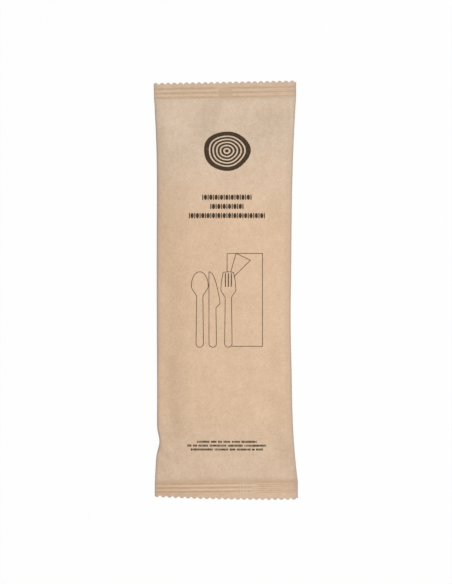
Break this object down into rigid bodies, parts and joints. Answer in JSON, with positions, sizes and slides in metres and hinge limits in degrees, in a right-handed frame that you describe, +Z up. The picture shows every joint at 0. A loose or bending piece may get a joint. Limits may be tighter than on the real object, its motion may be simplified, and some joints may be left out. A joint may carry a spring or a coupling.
{
  "type": "sealed paper cutlery pack",
  "caption": "Sealed kraft-paper sleeve of wooden cutlery and a napkin, pillow-shaped, with crimped toothed ends and a folded fin along its back.",
  "frame": {"origin": "middle of the pack's footprint, on the surface that it lies on", "axes": "+Z up through the printed front, +Y along the pack towards the top of the print, +X to the right as the print is read"},
  "size_m": [0.0816, 0.2362, 0.0095],
  "materials": {
    "kraft_paper": "uncoated brown kraft, matte",
    "brown_ink": "dark brown ink printed on the kraft, matte"
  },
  "bodies": {
    "root": {"cutlery_pack": "kraft_paper"}
  },
  "joints": []
}
